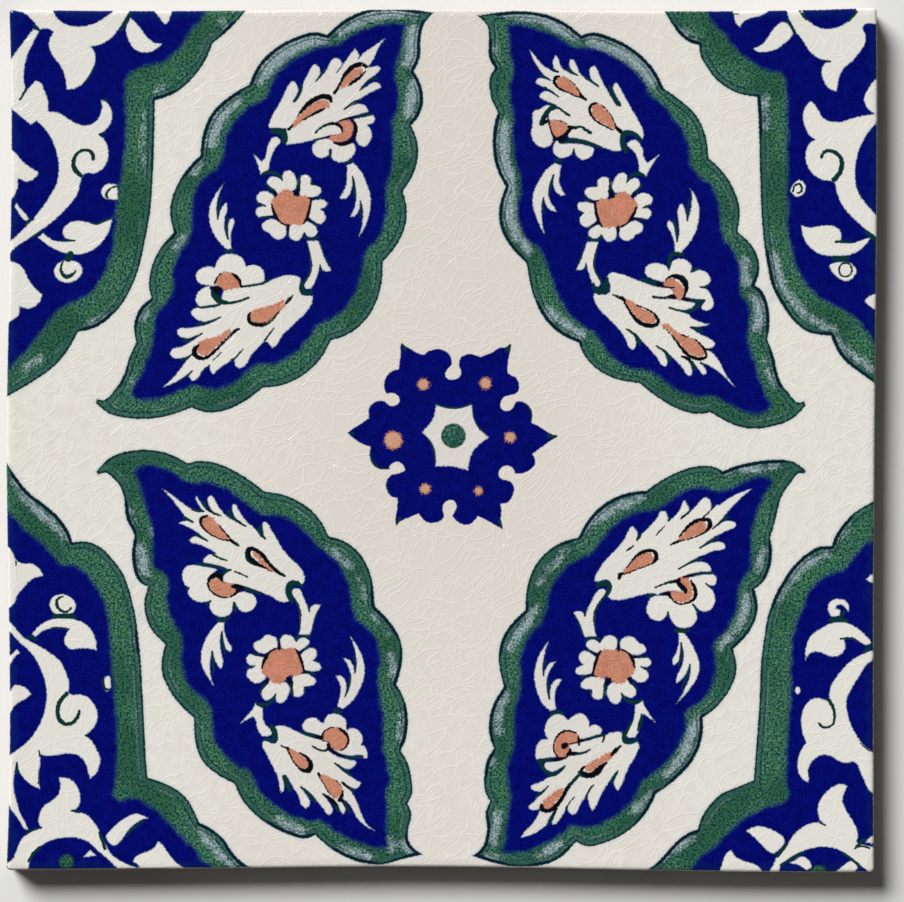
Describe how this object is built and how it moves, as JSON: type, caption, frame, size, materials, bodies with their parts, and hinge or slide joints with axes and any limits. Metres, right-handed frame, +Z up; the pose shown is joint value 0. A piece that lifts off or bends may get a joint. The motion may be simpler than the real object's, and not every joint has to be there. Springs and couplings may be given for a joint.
{
  "type": "ceramic tile",
  "caption": "Square glazed ceramic wall tile with a crackled cream face, serrated leaf and star ornament in blue and green, slightly wavy edges and a plain flat back.",
  "frame": {"origin": "middle of the flat back, under the middle of the tile's box", "axes": "+Z up through the glazed face, +X to the right and +Y to the top of the ornament as the picture shows it"},
  "size_m": [0.2008, 0.1992, 0.008],
  "materials": {
    "glazed_clay": "gloss"
  },
  "bodies": {
    "root": {"tile": "glazed_clay"}
  },
  "joints": []
}
